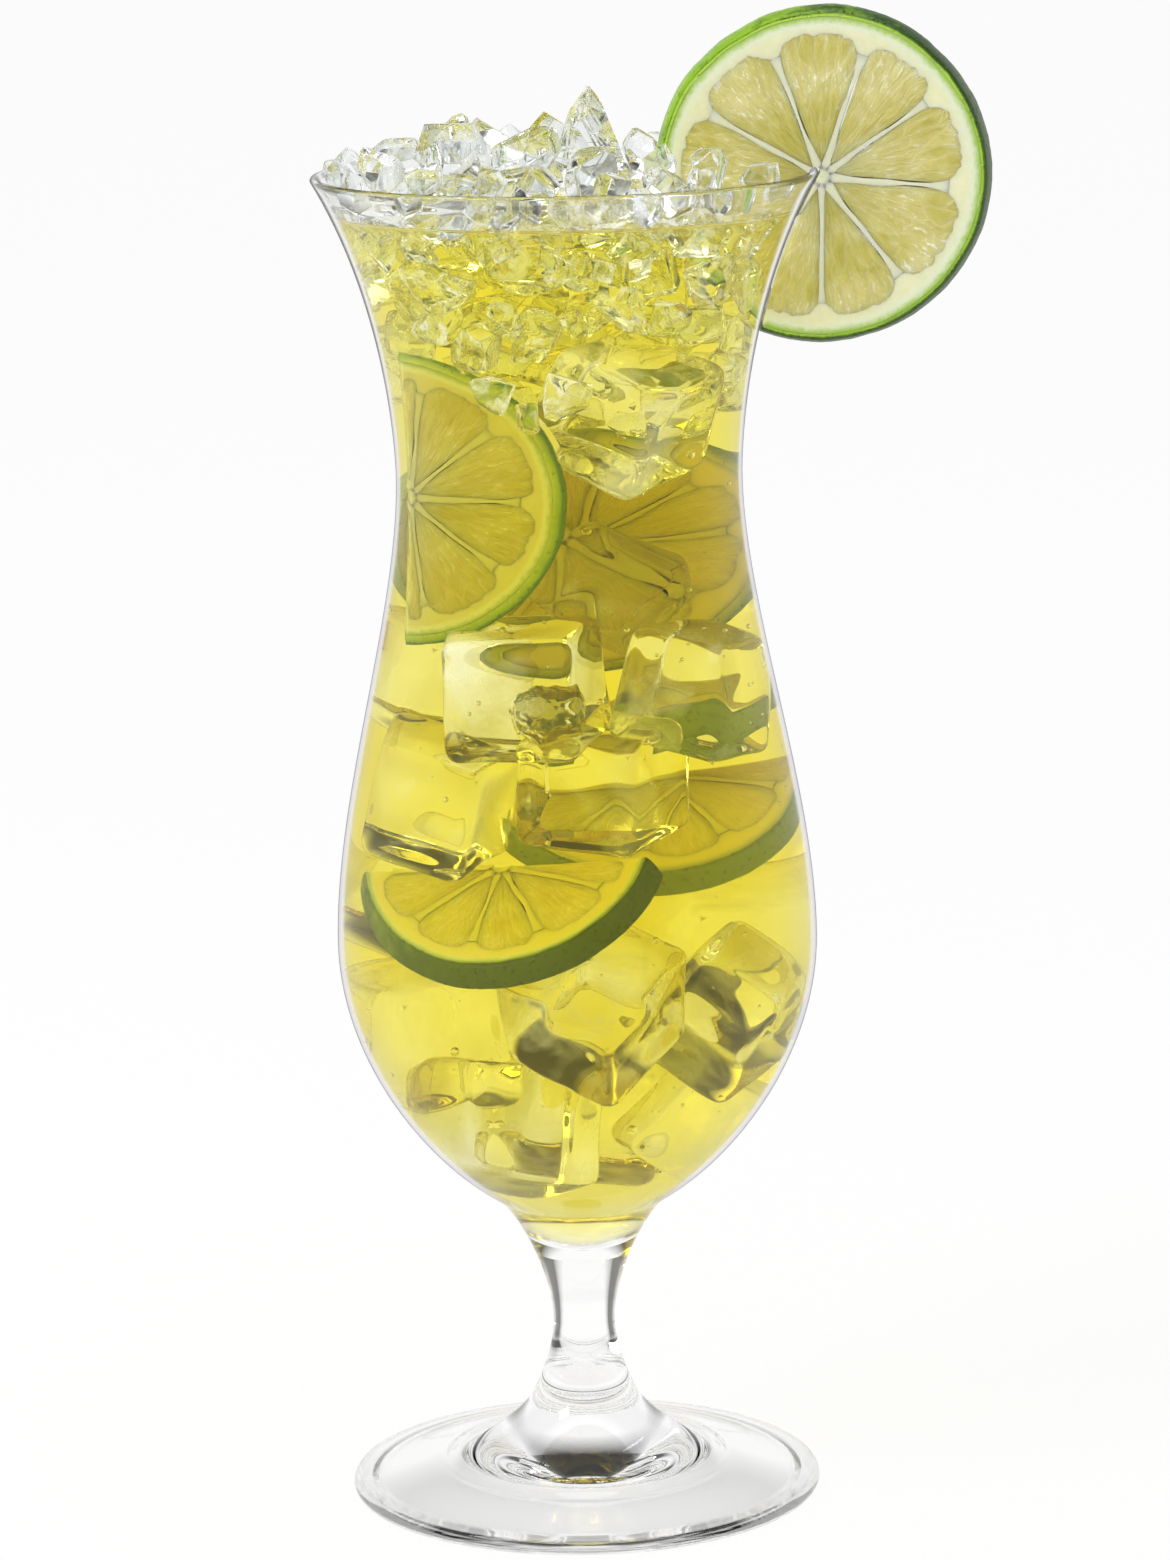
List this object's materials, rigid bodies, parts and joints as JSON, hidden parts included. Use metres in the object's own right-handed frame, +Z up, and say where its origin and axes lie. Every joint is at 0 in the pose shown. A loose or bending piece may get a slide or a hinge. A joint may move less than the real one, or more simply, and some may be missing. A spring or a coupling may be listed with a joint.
{
  "type": "hurricane glass",
  "caption": "Footed hurricane glass with a flared rim and full belly, served with a yellow-green drink, clear ice cubes, crushed ice, lime slices and a lime wheel on the rim.",
  "frame": {"origin": "middle of the ring that the foot stands on, on the glass's axis", "axes": "+Z up along the glass's axis, +X towards the side of the rim that carries the lime wheel, -Y towards the side that the wheel's smaller face looks to"},
  "size_m": [0.1036, 0.0768, 0.2318],
  "materials": {
    "glass": "polished",
    "drink": "gloss",
    "ice": "gloss",
    "crushed_ice": "gloss",
    "lime_peel": "satin",
    "lime_pith": "matte",
    "lime_flesh": "gloss"
  },
  "bodies": {
    "root": {"glass_top": "glass", "glass_bowl": "glass", "glass_stem": "glass", "glass_foot": "glass", "drink": "drink", "ice_cube_upper_front": "ice", "ice_cube_waist": "ice", "ice_cube_centre": "ice", "ice_cube_right": "ice", "ice_cube_left": "ice", "ice_cube_middle_front": "ice", "ice_cube_low_front": "ice", "ice_cube_low_left": "ice", "ice_cube_low_right": "ice", "ice_cube_bottom_right": "ice", "ice_cube_left_back": "ice", "ice_cube_high_back": "ice", "ice_cube_back_left": "ice", "ice_cube_back_right": "ice", "ice_cube_bottom_back": "ice", "crushed_ice_lower": "crushed_ice", "crushed_ice_upper": "crushed_ice", "crushed_ice_surface": "crushed_ice", "crushed_ice_heap": "crushed_ice", "ice_peak": "crushed_ice", "upper_slice_peel": "lime_peel", "upper_slice_pith": "lime_pith", "upper_slice_flesh": "lime_flesh", "waist_wheel_peel": "lime_peel", "waist_wheel_pith": "lime_pith", "waist_wheel_flesh": "lime_flesh", "right_wedge_peel": "lime_peel", "right_wedge_pith": "lime_pith", "right_wedge_flesh": "lime_flesh", "right_slice_peel": "lime_peel", "right_slice_pith": "lime_pith", "right_slice_flesh": "lime_flesh", "lower_slice_peel": "lime_peel", "lower_slice_pith": "lime_pith", "lower_slice_flesh": "lime_flesh"},
    "lime_garnish": {"garnish_peel": "lime_peel", "garnish_pith": "lime_pith", "garnish_flesh": "lime_flesh"}
  },
  "joints": [
    {"name": "garnish_lift", "type": "slide", "parent": "root", "child": "lime_garnish", "axis": [0.3742, -0.0327, 0.9267], "range_m": [0, 0.034]}
  ]
}
